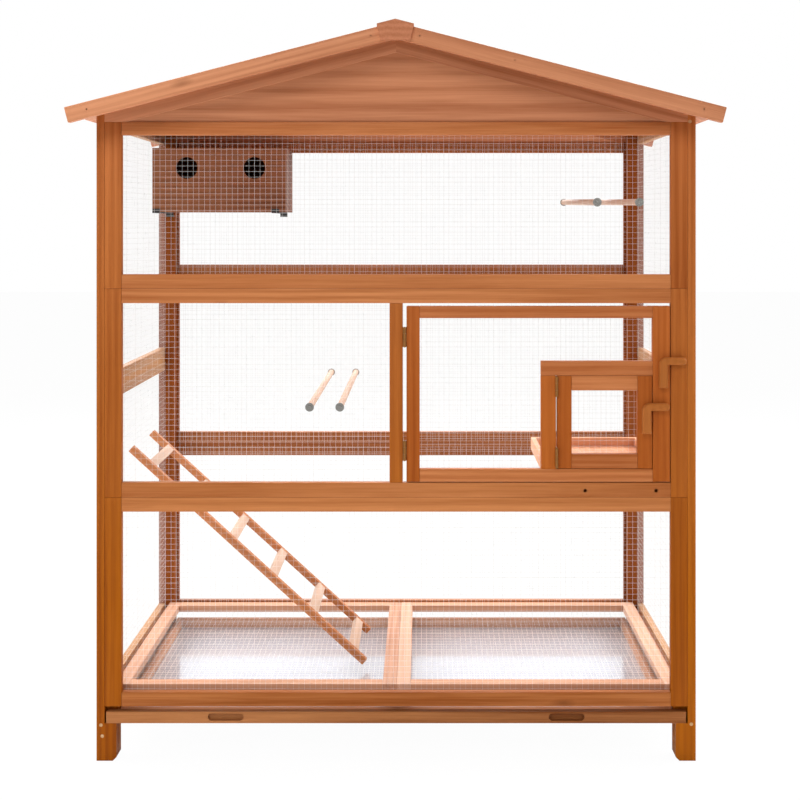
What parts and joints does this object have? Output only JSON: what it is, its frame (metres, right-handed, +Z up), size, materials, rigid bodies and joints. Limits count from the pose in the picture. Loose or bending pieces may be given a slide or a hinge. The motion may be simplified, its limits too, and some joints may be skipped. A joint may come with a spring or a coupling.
{
  "type": "bird breeding cage",
  "caption": "Tall wooden bird breeding cage with wire nets, a gable roof, a front door with a small feeding door in it, turn latches, ladder, perches, nest box and pull-out litter drawer.",
  "frame": {"origin": "on the ground under the middle of the cage", "axes": "+Z up, -Y towards the front with the doors and the drawer, +X to the right as seen from the front"},
  "size_m": [1.464, 0.906, 1.6703],
  "materials": {
    "stained_wood": "satin stain",
    "dowel_wood": "satin stain",
    "wire_net": "galvanised",
    "hinge_brass": "dull",
    "fixing_steel": "zinc plated",
    "black_steel": "matt",
    "drawer_sheet": "galvanised"
  },
  "bodies": {
    "cage": {"back_left_post": "stained_wood", "back_lower_frame": "stained_wood", "back_lower_net": "wire_net", "back_middle_frame": "stained_wood", "back_middle_net": "wire_net", "back_right_post": "stained_wood", "back_upper_frame": "stained_wood", "back_upper_net": "wire_net", "barge_boards": "stained_wood", "barge_nails": "fixing_steel", "drawer_runners": "stained_wood", "floor_bearers": "stained_wood", "floor_frames": "stained_wood", "floor_nets": "wire_net", "food_tray": "stained_wood", "food_tray_brackets": "stained_wood", "frame_screws": "fixing_steel", "front_left_post": "stained_wood", "front_lower_frame": "stained_wood", "front_lower_net": "wire_net", "front_middle_frame": "stained_wood", "front_middle_net": "wire_net", "front_right_post": "stained_wood", "front_upper_frame": "stained_wood", "front_upper_net": "wire_net", "gable_boards": "stained_wood", "ladder_rails": "dowel_wood", "ladder_rungs": "dowel_wood", "left_nets": "wire_net", "left_rails": "stained_wood", "left_roof_panel": "stained_wood", "main_hinge_fixed_halves": "hinge_brass", "nest_box": "stained_wood", "nest_box_front": "stained_wood", "nest_box_hooks": "black_steel", "perch_fixings": "fixing_steel", "perches": "dowel_wood", "rafters": "stained_wood", "ridge_cap": "stained_wood", "ridge_end_plates": "stained_wood", "right_nets": "wire_net", "right_rails": "stained_wood", "right_roof_panel": "stained_wood", "upper_latch_screw": "fixing_steel"},
    "main_door": {"main_door_frame": "stained_wood", "main_door_surround": "stained_wood", "main_door_net": "wire_net", "main_hinge_door_halves": "hinge_brass", "small_hinge_fixed_halves": "hinge_brass", "lower_latch_screw": "fixing_steel"},
    "small_door": {"small_door_frame": "stained_wood", "small_door_net": "wire_net", "small_hinge_door_halves": "hinge_brass"},
    "upper_latch": {"upper_latch": "stained_wood"},
    "lower_latch": {"lower_latch": "stained_wood"},
    "drawer": {"drawer_front": "stained_wood", "drawer_box": "stained_wood", "drawer_sheet": "drawer_sheet"}
  },
  "joints": [
    {"name": "main_door_hinge", "type": "hinge", "parent": "cage", "child": "main_door", "pos_m": [0.01925, -0.365, 0.8325], "axis": [0, 0, -1], "range_deg": [0, 110]},
    {"name": "small_door_hinge", "type": "hinge", "parent": "main_door", "child": "small_door", "pos_m": [0.36425, -0.3685, 0.76825], "axis": [0, 0, -1], "range_deg": [0, 110]},
    {"name": "upper_latch_pivot", "type": "hinge", "parent": "cage", "child": "upper_latch", "pos_m": [0.6485, -0.365, 0.9075], "axis": [0, -1, 0], "range_deg": [-90, 180]},
    {"name": "lower_latch_pivot", "type": "hinge", "parent": "main_door", "child": "lower_latch", "pos_m": [0.6105, -0.365, 0.8035], "axis": [0, -1, 0], "range_deg": [0, 180]},
    {"name": "drawer_slide", "type": "slide", "parent": "cage", "child": "drawer", "axis": [0, -1, 0], "range_m": [0, 0.6]}
  ]
}
